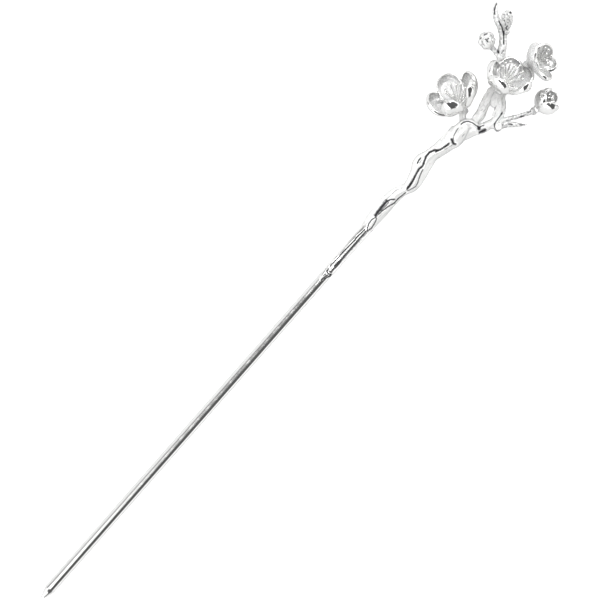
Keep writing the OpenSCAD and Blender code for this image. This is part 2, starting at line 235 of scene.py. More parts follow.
def rising(values, start, span):
    """A share that grows from 0 at start to 1 over a span, or the other way where the span is negative."""
    return np.clip((values - start) / span, 0, 1)


def turns(sides):
    """The angles of a circle's points."""
    return 2 * np.pi * np.arange(sides) / sides


def level_ring(radius, height, sides):
    """A circle of points about the Z axis."""
    around = turns(sides)
    return np.column_stack([radius * np.cos(around), radius * np.sin(around), np.full(sides, height)])


def spline_rows(rows, pitch, columns=3):
    """Points about pitch apart on a smooth curve through rows, and the place of each between the rows."""
    rows = np.array(rows, float)
    last = len(rows) - 1
    points, marks = [], []
    for i in range(last):
        a, b, c, d = rows[max(i - 1, 0)], rows[i], rows[i + 1], rows[min(i + 2, last)]
        steps = max(2, round(float(np.linalg.norm((c - b)[:columns])) / pitch))
        t = (np.arange(steps) / steps)[:, None]
        points.append((2 * b + (c - a) * t + (2 * a - 5 * b + 4 * c - d) * t ** 2
                       + (3 * b - a - 3 * c + d) * t ** 3) / 2)
        marks.append(i + t[:, 0])
    return np.vstack([*points, rows[-1:]]), np.append(np.concatenate(marks), last)


def skin(rings, first, final):
    """Points and faces of a closed skin over rings of equally many points, with a point beyond each end.
    Level rings run from the top down, so that the faces look outwards."""
    rings = np.asarray(rings, float)
    m, n = rings.shape[:2]
    points = np.vstack([first, rings.reshape(-1, 3), final])
    k = np.arange(n)
    after = (k + 1) % n
    end = len(points) - 1
    faces = [(0, 1 + a, 1 + b) for a, b in zip(k, after)]
    for i in range(m - 1):
        low = 1 + i * n
        faces += [(low + a, low + a + n, low + b + n, low + b) for a, b in zip(k, after)]
    faces += [(end, end - n + b, end - n + a) for a, b in zip(k, after)]
    return points, faces


def turned_z(v, degrees):
    a = math.radians(degrees)
    x, y, z = v[..., 0], v[..., 1], v[..., 2]
    return np.stack([x * math.cos(a) - y * math.sin(a), x * math.sin(a) + y * math.cos(a), z], -1)


def turned_y(v, degrees):
    a = math.radians(degrees)
    x, y, z = v[..., 0], v[..., 1], v[..., 2]
    return np.stack([x * math.cos(a) + z * math.sin(a), y, -x * math.sin(a) + z * math.cos(a)], -1)


# How far a limb's rounded end stands out, in its radii, and the angles of the rings that round it
DOME = 0.8
DOME_ANGLES = np.radians([72, 54, 36, 18])


def limb(rows, sides=36, pitch=0.3, flutes=5, depth=0.0, twist=0.0):
    """A round limb along rows of x, y, height and radius, with flutes along it and a dome on each end."""
    path, marks = spline_rows(rows, pitch)
    centre, radius = path[:, :3], path[:, 3]
    ahead = unit(np.gradient(centre, axis=0))
    side = unit(np.cross([0, 0, 1], ahead))
    up = np.cross(ahead, side)
    turn = turns(sides)
    wave = 1 - depth * (1 + np.cos(flutes * turn[None] + np.radians(twist) * marks[:, None])) / 2

    def ring(i, shift, share):
        reach = (share * radius[i] * wave[i])[:, None]
        return (centre[i] + shift * radius[i] * ahead[i]
                + reach * (np.cos(turn)[:, None] * side[i] + np.sin(turn)[:, None] * up[i]))

    rings = [ring(0, -DOME * math.sin(a), math.cos(a)) for a in DOME_ANGLES]
    rings += [ring(i, 0, 1) for i in range(len(path))]
    rings += [ring(-1, DOME * math.sin(a), math.cos(a)) for a in DOME_ANGLES[::-1]]
    first = centre[0] - DOME * radius[0] * ahead[0]
    final = centre[-1] + DOME * radius[-1] * ahead[-1]
    return skin(rings, first, final)


def join(shells):
    """One list of points and one of faces from several."""
    points, faces, start = [], [], 0
    for p, f in shells:
        points.append(p)
        faces += [tuple(start + i for i in face) for face in f]
        start += len(p)
    return np.vstack(points), faces


def mesh_of(name, points, faces):
    mesh = bpy.data.meshes.new(name)
    mesh.from_pydata(np.asarray(points).tolist(), [], faces)
    mesh.update()
    return mesh


def fused(name, points, faces, voxel, smooth=3):
    """The shells grown into one closed skin, as molten metal fills a mould, and its seams smoothed."""
    rough = bpy.data.objects.new(name + "_shells", mesh_of(name + "_shells", points, faces))
    bpy.context.scene.collection.objects.link(rough)
    melt = rough.modifiers.new("melt", "REMESH")
    melt.mode = "VOXEL"
    melt.voxel_size = voxel
    soften = rough.modifiers.new("soften", "SMOOTH")
    soften.factor = 0.5
    soften.iterations = smooth
    ready = rough.evaluated_get(bpy.context.evaluated_depsgraph_get())
    mesh = bpy.data.meshes.new_from_object(ready)
    bpy.data.objects.remove(rough)
    return mesh


def points_of(mesh):
    flat = np.empty(len(mesh.vertices) * 3)
    mesh.vertices.foreach_get("co", flat)
    return flat.reshape(-1, 3)


def normals_of(mesh):
    mesh.update()
    flat = np.empty(len(mesh.vertices) * 3, np.float32)
    mesh.vertex_normals.foreach_get("vector", flat)
    return flat.reshape(-1, 3).astype(float)


def move_points(mesh, points):
    mesh.vertices.foreach_set("co", points.ravel())
    mesh.update()


def smoothed(mesh, points, rounds, share=0.5):
    """Points drawn towards the mean of their neighbours, round after round."""
    edges = np.empty(len(mesh.edges) * 2, int)
    mesh.edges.foreach_get("vertices", edges)
    a, b = edges.reshape(-1, 2).T
    count = np.maximum(np.bincount(a, minlength=len(points)) + np.bincount(b, minlength=len(points)), 1)
    now = points.copy()
    for _ in range(rounds):
        total = np.stack([np.bincount(a, now[b, i], len(now)) + np.bincount(b, now[a, i], len(now))
                          for i in range(3)], 1)
        now = (1 - share) * now + share * total / count[:, None]
    return now


def hollow_at(mesh, rounds):
    """How far each point lies under its smoothed surroundings, in millimetres: above 0 in a crease."""
    start = points_of(mesh)
    return ((smoothed(mesh, start, rounds, 0.6) - start) * normals_of(mesh)).sum(1)


def write_values(mesh, name, values):
    made = mesh.attributes.new(name, "FLOAT", "POINT")
    made.data.foreach_set("value", values.astype(np.float32))


def finish_piece(name, mesh, materials, nodes):
    """Turns a mesh from millimetres to metres and makes it a piece that stands for CAD nodes."""
    move_points(mesh, points_of(mesh) * MM)
    mesh.polygons.foreach_set("use_smooth", np.ones(len(mesh.polygons), bool))
    for material in materials:
        mesh.materials.append(material)
    piece = bpy.data.objects.new(name, mesh)
    bpy.context.scene.collection.objects.link(piece)
    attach(piece, "root")
    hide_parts(*nodes)
    return piece


# The pin: drawn round wire, filed to a short cone, its edges eased by the wheel

PIN_SIDES = 96
# What the wheel takes off at the cone's edge and at the tip's: how far beyond it, how much of the radius
CONE_EASE = [(-0.25, 0.004), (0, 0.03), (0.25, 0.11)]
TIP_EASE = [(-0.08, 0.02), (-0.02, 0.09), (0, 0.2)]
# The end hidden in the branch's foot: distance from the shoulder, share of the radius; and how far its
# middle stands out beyond that
HIDDEN_END = [(-1.0, 0.98), (-0.6, 1), (0.05, 1)]
HIDDEN_BULGE = 0.02


def make_pin():
    r, tip = PIN_DIAMETER / 2, POINT_DIAMETER / 2
    cone = PIN_LENGTH - POINT_LENGTH
    profile = [(x, r * share) for x, share in HIDDEN_END]
    profile += [(x, r) for x in np.linspace(1, cone - 0.5, 60)]
    profile += [(cone + x, r - less) for x, less in CONE_EASE]
    profile += [(cone + t * POINT_LENGTH, r + (tip - r) * t) for t in np.linspace(0.18, 0.94, 9)]
    profile += [(PIN_LENGTH + x, tip - less) for x, less in TIP_EASE]
    turn = turns(PIN_SIDES)
    rings = [np.column_stack([np.full(PIN_SIDES, -x), q * np.cos(turn), q * np.sin(turn)])
             for x, q in profile]
    points, faces = skin(rings, [HIDDEN_BULGE - HIDDEN_END[0][0], 0, 0], [-PIN_LENGTH, 0, 0])
    return finish_piece("pin", mesh_of("pin", points + [0, 0, r] + SHOULDER, faces), [BUFFED], ["shank"])


make_pin()

# The branch. Rows of x, y from the end of the pin's axis, height over the surface, radius

LEAF = [(-3.4, 0.1, 2.2, 0.6), (-2, 0.1, 2, 1.05), (0, 0, 1.75, 1.5), (3, 0, 1.7, 1.5)]
COLLAR = [
    (0.4, 0, 1.65, 1.55), (6, 0, 1.65, 1.5), (12, 0, 1.8, 1.6), (15.5, -0.1, 2, 1.35), (17, -0.2, 2.1, 0.9),
]
STRANDS = [
    [(12.5, 0.6, 1.5, 0.8), (16, 1, 1.9, 1.05), (20, 0.9, 2.2, 1.3), (23.5, 0.6, 2.4, 1.35),
     (26.5, 0.1, 2.1, 0.8)],
    [(14, -0.5, 1.5, 0.8), (18, -0.6, 1.8, 1), (22, -0.7, 2, 0.9), (26, -1, 2, 0.8), (28, -1.5, 2, 0.6)],
    [(25.5, -0.9, 1.6, 0.7), (28.3, -1.9, 2, 1.15), (31.5, -1.7, 2.1, 1.1), (34, -1.3, 2.2, 1),
     (37, -1.1, 2, 0.7)],
    [(25, -0.3, 1.8, 0.7), (28.5, -0.6, 2.1, 1.2), (31.5, 0.2, 2.4, 1.4), (33.5, 1, 2.5, 1.55),
     (36, 0.8, 2.2, 1.1), (38.5, 0.3, 2, 1)],
    [(37, 0.2, 1.8, 0.9), (40, 0, 2.2, 1.15), (43, -0.4, 2.4, 1.25), (46, -0.9, 2.4, 1)],
    [(35.5, -0.6, 1.6, 0.8), (38, -1.2, 1.9, 0.95), (41, -2, 2, 1.05), (44, -3, 1.9, 0.8)],
    [(48, -1.7, 2.6, 1), (45.6, -2, 3, 1.3), (43.6, -2.6, 2.7, 1.1)],
    [(43, -0.3, 2.2, 0.9), (45.5, -0.5, 2.7, 1), (48.2, -1.3, 2.9, 1), (49, -3.2, 2.8, 0.95),
     (48.4, -5, 2.3, 0.8)],
    [(45.5, -3.3, 1.6, 0.9), (48, -4, 1.9, 1.25), (50, -5.2, 2, 1.25), (52.5, -6, 2.1, 1)],
]
LEGS = [
    [(49.2, -2.7, 2, 1.15), (50.7, -2.5, 2.1, 1.3), (52.3, -2.4, 2.3, 1.3), (54.3, -1.7, 2.5, 1.25),
     (56.2, -1.3, 2.6, 1.3), (58.2, -1.1, 2.7, 1.3), (60.2, -1.6, 2.7, 1.2)],
    [(52, -6.4, 2, 1.15), (53.8, -6.1, 2.1, 1.35), (55.2, -5.6, 2.3, 1.4), (56.6, -4.7, 2.5, 1.4),
     (57.9, -3.3, 2.6, 1.4), (59.5, -2.4, 2.7, 1.35), (61.3, -2, 2.6, 1.2)],
    [(55.8, -3.4, 2.2, 0.9), (57, -3.1, 2.5, 1.4), (58.5, -2.6, 2.7, 1.4), (60, -2.1, 2.6, 1.1)],
]
TWIGS = [
    [(59, -2.5, 2.5, 1.3), (61.5, -0.6, 2.1, 1.1), (64.2, 1.6, 1.8, 1), (66, 3.3, 1.9, 1.1),
     (67.9, 4.4, 1.9, 1), (69.8, 6, 1.8, 0.95), (71, 7.8, 1.7, 0.95), (71.7, 9.6, 1.6, 0.85),
     (73, 11.3, 1.5, 0.7), (74.5, 12.2, 1.4, 0.5)],
    [(60, -3, 2.4, 1.2), (63.5, -3.4, 1.8, 0.95), (66, -3.3, 1.8, 0.9)],
    [(54, -7.3, 2.1, 0.9), (54.9, -7.8, 2.05, 0.62), (56, -8.5, 1.95, 0.58), (58, -9.9, 1.75, 0.56),
     (60.2, -11.2, 1.6, 0.6), (61.3, -11.8, 1.6, 0.7)],
    [(52.5, -7.7, 2, 0.85), (53.6, -8.3, 1.8, 0.8), (54.7, -9.3, 1.7, 0.75), (55.8, -10.6, 1.6, 0.62),
     (56.7, -11.7, 1.6, 0.4), (57.5, -12.6, 1.6, 0.18)],
    [(47.6, -0.8, 2.1, 0.9), (49, 0.6, 1.8, 0.85)],
    [(65.3, 3.3, 1.85, 0.76), (65.62, 4.4, 1.7, 0.68)],
    [(69.6, 5.5, 1.8, 0.7), (70.7, 5.9, 2, 0.6)],
]
KNOTS = [
    [(18, 1.9, 2.3, 0.45), (21.5, 2, 2.5, 0.5)],
    [(24.5, 0.7, 3.4, 0.35), (22.5, 0.9, 3.4, 0.4)],
    [(32, 0.5, 3.5, 0.4), (34.6, 1.5, 3.6, 0.45)],
    [(37.2, -0.8, 2.6, 0.45), (36, -1, 2.7, 0.45)],
    [(41.5, 0.7, 2.7, 0.4), (43.8, 0.5, 3, 0.4)],
    [(50.4, -4.6, 3, 0.4), (48.9, -4.3, 2.9, 0.4)],
    [(53.4, -5.1, 3.2, 0.35), (56.4, -4.2, 3.4, 0.4)],
    [(52.2, -2.2, 3.1, 0.35), (55.6, -1.9, 3.4, 0.4)],
]
# The cut stub: where it sits, its radius, how flat it is each way, and the ring of beads on its face
STUB = (52.4, -7.7, 2.4)
STUB_RADIUS = 1.2
STUB_FLATNESS = (1, 0.9, 0.8)
STUB_RING_RADIUS = 0.74
STUB_RING_HEIGHT = 0.55
STUB_BEAD_RADIUS = 0.36
STUB_BEAD_STEP = 12

# The thick body that the strands lie on: x, its left and right edges, height of its middle, half height. Its
# edges were interpolated between points marked on the photo, and brought in a little
BODY = [
    (10, 1.3, -1.3, 1.6, 1.35), (14, 1.45, -1.35, 1.8, 1.5), (17, 1.75, -1.2, 2, 1.6),
    (18.5, 2.0, -1.3, 2.1, 1.7), (20, 2.0, -1.4, 2.15, 1.75), (23, 1.8, -1.4, 2.2, 1.75),
    (24.5, 1.5, -1.5, 2.2, 1.7), (26, 0.8, -2.1, 2.1, 1.6), (27.5, 0.4, -2.8, 2.1, 1.6),
    (29, 0.55, -3, 2.2, 1.65), (30.5, 1.2, -2.35, 2.3, 1.75), (32, 1.9, -2, 2.35, 1.85),
    (33.5, 2.5, -1.95, 2.4, 1.9), (35, 2.45, -1.6, 2.35, 1.85), (36.5, 1.8, -1.65, 2.3, 1.75),
    (38, 1.45, -1.9, 2.2, 1.7), (39.5, 1.15, -2.4, 2.2, 1.7), (41, 0.95, -3, 2.2, 1.65),
    (42.5, 0.8, -3.7, 2.2, 1.6), (44, 0.9, -3.85, 2.2, 1.5), (45.5, 0.9, -3.7, 2.1, 1.3),
]

# Grooves between the strands, seen from above: their line, half width, depth, how much higher the strand
# at the left of the line stands than the one at its right, and how much patina they keep
GROOVES = [
    ([(-3, -0.3), (-2, -0.7), (-1, -0.95), (-0.2, -0.9)], 0.26, 0.06, 0.0, 1),
    ([(-2.6, 0.35), (-1.5, 0.1), (-0.9, -0.3)], 0.12, 0.06, 0.0, 0.9),
    ([(0.3, 0.6), (-0.9, 0.3), (-0.9, -0.5), (-0.7, -1.2)], 0.18, 0.18, -0.03, 1),
    ([(0.2, 0.6), (2.7, 0.5), (6, 0.45), (9.3, 0.25), (10.2, 0.35), (13.2, 0.1)], 0.12, 0.16, 0.02, 1),
    ([(0.8, -0.2), (2, -0.38), (4.4, -0.52), (8, -0.5), (11.6, -0.6), (13, -0.75)], 0.5, 0.12, 0.03, 0.56),
    ([(13, -0.6), (13.4, -0.1), (14.5, 0.32), (15.7, 0.42), (16.8, 0.05), (16.5, -0.4), (15.3, -0.75),
      (14, -0.95), (13, -0.6)], 0.15, 0.22, 0.0, 1),
    ([(16.4, 0.35), (18.3, 0.6), (20.6, 0.75), (22, 0.7)], 0.52, 0.3, 0.05, 1),
    ([(18.2, 0.25), (20.2, 0.05), (21.8, 0.1)], 0.14, 0.16, 0.0, 0.9),
    ([(21.2, 0.8), (22.3, 0.15), (23.2, -0.95)], 0.2, 0.2, 0.03, 1),
    ([(19.3, 1.1), (21.5, 1.1), (23.1, 0.9), (24.8, 0.75), (26.7, -0.2)], 0.11, 0.1, 0.03, 0.6),
    ([(17.2, 0), (18.7, -0.1), (20.5, -0.5), (22.3, -1.15), (23.6, -1.1), (24.8, -1.35), (26.2, -1.5)],
      0.16, 0.24, -0.05, 1),
    ([(26.2, -1.55), (27.3, -1.9), (28.6, -2.35), (29.6, -2.1), (31, -1.5), (32.2, -1.05), (33.2, -0.8)],
      0.17, 0.24, 0.08, 0.9),
    ([(26.3, -1.2), (27.6, -1), (29, -0.75), (30.2, -0.5)], 0.34, 0.26, 0.0, 1),
    ([(26.2, -1.6), (27, -1.6)], 0.3, 0.2, 0.0, 1),
    ([(26.7, -0.8), (27.6, -0.95), (29, -0.7), (30.4, -0.45), (32.3, -0.1), (33.4, -0.3), (34.8, 0.28),
      (35.7, 0.73), (36.9, 0.8), (38.1, 0.24), (39, -0.85), (40.1, -1.2), (42, -1.6)], 0.29, 0.36, 0.08, 1),
    ([(37.6, -0.2), (38.4, -0.5), (39.2, -1)], 0.3, 0.26, 0.0, 1),
    ([(37.5, -0.8), (37.9, -1.1)], 0.16, 0.16, 0.0, 1),
    ([(39.5, -1.6), (41.4, -2.2), (42.4, -2.5)], 0.12, 0.1, 0.0, 0.6),
    ([(32.6, 1.08), (33.7, 1.37), (34.9, 1.45)], 0.19, 0.22, 0.04, 1),
    ([(33, 0.7), (34, 0.87), (34.7, 1.1)], 0.12, 0.1, 0.0, 0.7),
    ([(46.3, -0.64), (45.2, -0.73), (43.9, -1), (43.1, -1.54), (42.7, -2.4)], 0.11, 0.18, 0.05, 0.8),
    ([(42.9, -0.7), (42.8, -1.3), (42.5, -1.9), (42.3, -2.5), (42.8, -3.2)], 0.34, 0.36, 0.06, 1),
    ([(44.4, -2.8), (45.4, -2.7), (46.3, -2.9)], 0.11, 0.12, 0.0, 0.7),
    ([(46.6, -0.5), (47.7, -0.6), (48.7, -1.35), (49.1, -2.5), (49.2, -3.6), (49.7, -4.4), (50.7, -5.2)],
      0.15, 0.24, 0.05, 1),
    ([(50, -4.1), (49.2, -4.5), (48.5, -4.9)], 0.48, 0.3, 0.0, 1),
    ([(49.1, -3.8), (49.5, -4.6)], 0.4, 0.15, 0.0, 1),
    ([(47.9, -5.2), (49, -5.65), (50.3, -6.15)], 0.6, 0.34, 0.0, 1),
    ([(56.1, -6.2), (54.5, -6.45), (53.4, -6.45), (52.4, -6.5), (51.75, -7), (51.4, -7.7), (51.6, -8.4),
      (52.1, -9), (52.7, -9.4)], 0.19, 0.24, 0.0, 1),
    ([(52.4, -7.45), (53.1, -7.75)], 0.3, 0.1, 0.0, 0.6),
    ([(54.3, -8.9), (54.9, -9.4), (55.4, -10.2)], 0.2, 0.16, 0.0, 1),
    ([(56, -10.9), (56.7, -11.7), (57.4, -12.4)], 0.16, 0.14, 0.0, 1),
    ([(57.3, -9.9), (58.9, -10.85)], 0.24, 0.16, 0.0, 1),
    ([(59.2, -10.4), (60.8, -11.3)], 0.16, 0.12, 0.0, 0.9),
    ([(52.2, -2), (53.7, -2.1)], 0.13, 0.14, 0.02, 0.5),
    ([(52.4, -2.65), (54.2, -2.7)], 0.11, 0.12, 0.0, 0.4),
    ([(51.9, -3.5), (53.2, -3.2)], 0.11, 0.12, 0.0, 0.45),
    ([(56.3, -1.8), (57.8, -1.7), (59.2, -1.5)], 0.14, 0.1, 0.0, 0.2),
    ([(58.7, -3.8), (57.4, -5), (55.7, -6)], 0.12, 0.1, 0.0, 0.25),
    ([(57.7, -3.2), (56.1, -4.3), (54.2, -5.3)], 0.12, 0.12, 0.03, 0.2),
    ([(75, 12.2), (73.8, 12), (72.9, 11.5), (71.9, 10.5)], 0.24, 0.24, 0.0, 1),
    ([(71.9, 9.35), (71.5, 8.4), (71.1, 7.4), (70.5, 6.6), (69.9, 5.85), (69.2, 5.2), (68, 4.3)],
      0.25, 0.26, 0.0, 1),
    ([(66.4, 5), (66, 4.4), (65.7, 3.6)], 0.26, 0.24, 0.0, 1),
    ([(67.8, 3.4), (66.8, 3.4), (65.7, 3.3)], 0.14, 0.14, 0.0, 0.8),
]


# How sharp the step between a higher and a lower strand is, and how far from the groove it dies away
STEP_EDGE = 0.14
STEP_REACH = 0.8

# Where the branch changes along x, from the end of the pin's axis, and over what length. The fork's satin
# also ends beside the stub, along y
COLLAR_END = (12.8, 1.5)
LIMB_END = (50, -3)
FORK_START = (48.5, 2.5)
FORK_END = (62, -1.5)
FORK_SIDE = (-8, 0.8)
# How much of a crease molten silver fills on the limb, and what share of that beyond it
FILLED = 0.9
FILLED_BEYOND = 0.25
# Relief of the fork's bark and of the lumps beyond the limb, and how deep a crease keeps full patina
BARK_RELIEF = 0.1
LUMP_RELIEF = 0.1
FULL_CREASE = 0.12
# Waves that a millimetre holds: of the bark along a limb and across it, and of the lumps
BARK_ALONG, BARK_ACROSS = 0.7, 2.4
LUMP_WAVES = 1.1
# The bark's fractal noise: how fast its octaves weaken, how much finer each is, and how many there are
BARK_NOISE = (0.8, 2.2, 4)
# How far apart the limbs lie in that noise, so that no two of them split alike
LIMB_GAP = 40
# Patina all over the twigs, and how much of it the fork's creases lose
TWIG_STAIN = 0.34
FORK_RUBBED = 0.92


# Flowers: where each sits, which way it faces in degrees, the diameter of its calyx, and the x, y, height
# and radius at which its stem starts. The first four were fitted together with their petals
Flower = namedtuple("Flower", "seat turn rise calyx stem")
LEFT = Flower((50.1, 2.7, 2.76), 78, 39, 2.8, (49.2, 0.7, 1.7, 0.8))
MIDDLE = Flower((61, -1.7, 5.6), 11, 40, 2.8, (59.6, -1.9, 2.7, 1.3))
RIGHT = Flower((69.6, -3.8, 2.53), -33, 42, 2.52, (66, -3.3, 1.9, 0.8))
BUD_RIGHT = Flower((62.4, -11.9, 1.90), -14, 26, 2.2, (60.8, -11.4, 1.6, 0.6))
BUD_SMALL = Flower((66.0, 7.1, 2.1), 80, 62, 1.8, (65.7, 4.7, 1.6, 0.6))
BUD_TOP = Flower((71.8, 6.5, 3.3), 43, 20, 1.5, (70.7, 5.9, 2.1, 0.6))
FLOWERS = [LEFT, MIDDLE, RIGHT, BUD_RIGHT, BUD_SMALL, BUD_TOP]
# The end of a stem in the calyx: how far under the flower's seat and how thick, in calyx diameters
STEM_DEPTH = 0.75
STEM_RADIUS = 0.45


def seated(points, flower):
    """Points from a flower's own frame, its axis up, to its seat on the branch."""
    return turned_z(turned_y(points, 90 - flower.rise), flower.turn) + np.array(flower.seat)


def stem_boss(flower):
    """The thickened end of a stem, from the twig up into the calyx."""
    top = seated(np.array([0, 0, -STEM_DEPTH * flower.calyx]), flower)
    return limb([flower.stem, (*top, STEM_RADIUS * flower.calyx)], sides=32, pitch=0.25)


def bead(centre, radius, sides=20, rings=11, stretch=1.0):
    """A ball of silver, drawn out upwards by stretch."""
    balls = [level_ring(radius * math.cos(a), stretch * radius * math.sin(a), sides)
             for a in np.radians(np.linspace(75, -75, rings))]
    points, faces = skin(balls, [0, 0, stretch * radius], [0, 0, -stretch * radius])
    return points + np.array(centre), faces


def stub_shells():
    """The cut stub's flattened ball and the beads on its face."""
    body, faces = bead((0, 0, 0), STUB_RADIUS, sides=32, rings=13)
    shells = [(body * STUB_FLATNESS + STUB, faces)]
    for a in np.radians(np.arange(0, 360, STUB_BEAD_STEP)):
        at = (STUB_RING_RADIUS * math.cos(a), STUB_RING_RADIUS * math.sin(a), STUB_RING_HEIGHT)
        shells.append(bead(np.add(at, STUB), STUB_BEAD_RADIUS, sides=32, rings=7))
    return shells


def trunk(rows, sides=48, pitch=0.25):
    """A closed body through upright sections across x."""
    path, _ = spline_rows(rows, pitch)
    x, left, right, middle, half = path.T[:, :, None]
    turn = turns(sides)
    rings = np.stack([x + 0 * turn, (left + right) / 2 + (left - right) / 2 * np.cos(turn),
                      middle + half * np.sin(turn)], -1)
    bulge = np.array([0.3, 0, 0])
    return skin(rings, rings[0].mean(0) - bulge, rings[-1].mean(0) + bulge)


def across_line(points, line, ease=0.5):
    """Signed distance of each point from an open line, plus at its left, and a share that rises over ease
    from the line's ends."""
    line = np.array(line, float)
    best, signed, place, run = np.full(len(points), 1e9), np.zeros(len(points)), np.zeros(len(points)), 0.0
    for a, b in zip(line[:-1], line[1:]):
        along = b - a
        size = np.linalg.norm(along)
        t = np.clip(((points - a) @ along) / size ** 2, 0, 1)
        off = points - (a + t[:, None] * along)
        far = np.linalg.norm(off, axis=1)
        near = far < best
        side = np.sign(along[0] * off[:, 1] - along[1] * off[:, 0])
        best[near], signed[near], place[near] = far[near], (side * far)[near], (run + t * size)[near]
        run += size
    if np.allclose(line[0], line[-1]):
        return signed, np.ones(len(points))
    return signed, np.clip(np.minimum(place, run - place) / ease, 0, 1)


def bark_ridges(points, paths, reach):
    """Noise drawn out along the nearest limb, about -1 to 1, as bark splits lengthwise."""
    stations, base = [], 0
    for path in paths:
        rows, _ = spline_rows(path, 0.4)
        ahead = unit(np.gradient(rows[:, :3], axis=0))
        along = np.append(0, np.cumsum(np.linalg.norm(np.diff(rows[:, :3], axis=0), axis=1)))
        stations += [(rows[i, :3], ahead[i], base + along[i]) for i in range(len(rows))]
        base += LIMB_GAP
    tree = KDTree(len(stations))
    for i, (at, _, _) in enumerate(stations):
        tree.insert(Vector(at), i)
    tree.balance()
    value = np.zeros(len(points))
    for i in np.nonzero(reach > 0.01)[0]:
        p = points[i]
        _, k, _ = tree.find(Vector(p))
        at, ahead, along = stations[k]
        slide = float((p - at) @ ahead)
        across = p - at - slide * ahead
        place = (BARK_ALONG * (along + slide), *(BARK_ACROSS * across[1:]))
        value[i] = noise.fractal(Vector(place), *BARK_NOISE)
    return value


def cast_branch():
    """All the branch's shells fused. Molten silver leaves no sharp corner: creases of the limb are filled,
    and its ridges eased."""
    shells = [limb(LEAF, depth=0.05), limb(COLLAR, sides=48, depth=0.1, twist=6), trunk(BODY)]
    shells += [limb(rows) for rows in STRANDS]
    shells += [limb(rows, depth=0.14, twist=25) for rows in LEGS]
    shells += [limb(rows, sides=32) for rows in TWIGS]
    shells += [limb(rows, sides=20, pitch=0.2) for rows in KNOTS]
    shells += [stem_boss(f) for f in FLOWERS]
    shells += stub_shells()
    mesh = fused("branch", *join(shells), voxel=0.13)
    for _ in range(3):
        points, normals = points_of(mesh), normals_of(mesh)
        hollow = ((smoothed(mesh, points, 12) - points) * normals).sum(1)
        share = np.maximum(rising(points[:, 0], *LIMB_END), FILLED_BEYOND)
        move_points(mesh, points + normals * (FILLED * share * np.maximum(hollow, 0))[:, None])
    points = points_of(mesh)
    share = rising(points[:, 0], *LIMB_END)[:, None]
    points += share * (smoothed(mesh, points, 8) - points)
    move_points(mesh, points)
    return mesh


def make_branch():
    mesh = cast_branch()
    points, normals = points_of(mesh), normals_of(mesh)

    # Grooves along the limb, only on the side that shows them
    faces_up = rising(normals[:, 2], 0, 0.5)
    cut, shift = np.zeros(len(points)), np.zeros(len(points))
    for line, half, depth, step, kept in GROOVES:
        signed, fade = across_line(points[:, :2], line)
        near = np.exp(-(signed / half) ** 2) * fade * faces_up
        shift += step * np.tanh(signed / STEP_EDGE) * np.exp(-np.abs(signed) / STEP_REACH) * fade * faces_up
        shift -= near * depth
        cut = np.maximum(cut, near * kept)
    points += normals * shift[:, None]

    # Bark on the fork and lumps beyond the limb, fading in past the arc strand. The fork's skin stays satin,
    # and the wheel has only eased the limb behind it
    x, y = points[:, 0], points[:, 1]
    bark = rising(x, *FORK_START)
    fork = bark * rising(x, *FORK_END) * rising(y, *FORK_SIDE)
    satin = np.maximum(fork, LIMB_SATIN * rising(x, *COLLAR_END))
    ridges = bark_ridges(points, [*LEGS, *TWIGS], fork)
    lump = np.array([noise.noise(Vector(LUMP_WAVES * p)) for p in points])
    move_points(mesh, points + normals * (BARK_RELIEF * fork * ridges + LUMP_RELIEF * bark * lump)[:, None])

    crease = rising(hollow_at(mesh, 10), 0, FULL_CREASE) * (1 - FORK_RUBBED * fork)
    stained = TWIG_STAIN * bark * (1 - fork)
    write_values(mesh, "groove", np.maximum(np.maximum(cut, stained), crease))
    write_values(mesh, "satin", satin)
    move_points(mesh, points_of(mesh) + SHOULDER)
    return finish_piece("branch_casting", mesh, [RUBBED_BACK], ["branch"])


make_branch()


# Blossoms. Rows of a petal: turn about the flower's axis, rise of its chord, length, width, curl. The rows
# were fitted by least squares to rims marked on the photo, and rounded; three were then changed

LEFT_PETALS = [
    (-13, 47, 9.1, 8, 73),
    (63, 54, 9.7, 8.6, 118),
    (159, 60, 11.5, 6.3, 104),
    (222, 55, 12.1, 6.5, 89),
    (279, 47, 9.9, 7.4, 98),
]
MIDDLE_PETALS = [
    (3, 49, 7.8, 7.3, 97),
    (96, 53, 7.6, 8.5, 134),
    (171, 49, 10.8, 7.2, 105),
    (241, 57, 10.3, 4.4, 117),
    (313, 43, 8.6, 7.9, 99),
]
RIGHT_PETALS = [
    (64, 54, 6.3, 7.6, 63),
    (-27, 45, 6.5, 4.8, 87),
    (249, 43, 7.3, 6, 52),
    (146, 50, 8.6, 7.3, 103),
    (186, 51, 6.5, 6.1, 94),
]
BUD_RIGHT_PETALS = [
    (82, 71, 6.6, 5.2, 111),
    (11, 61, 6.4, 5.2, 107),
    (141, 61, 6.2, 5.4, 115),
    (213, 61, 6.9, 4.8, 114),
    (272, 59, 5.6, 5.3, 91),
]
# Rows of a stamen: turn, lean away from the axis, length. Those of the three blossoms were worked out from
# where the heads show in the photo, then changed
LEFT_STAMENS = [
    (18, 21, 5.6), (73, 36, 5.6), (-61, 29, 5.4), (-100, 44, 5.2),
    (-31, 24, 5.8), (-76, 38, 5.6), (180, 20, 5.2), (60, 12, 5.4),
]
MIDDLE_STAMENS = [
    (80, 36, 5.4), (103, 25, 5.2), (65, 24, 5.3), (25, 28, 5.5),
    (-4, 17, 5.2), (-22, 36, 5.8), (-51, 38, 5.5), (-86, 42, 5.2),
]
RIGHT_STAMENS = [
    (76, 32, 5), (62, 24, 5.2), (90, 13, 4.8), (-141, 9, 4.8),
    (-113, 15, 4.8), (106, 38, 4.8), (-91, 22, 5.2), (10, 24, 4.8),
]
BUD_RIGHT_STAMENS = [
    (3, 13, 4), (68, 16, 4.2), (141, 12, 3.9), (221, 15, 4.1),
    (286, 14, 4), (37, 5, 4.5), (176, 7, 4.4), (255, 3, 4.3),
]
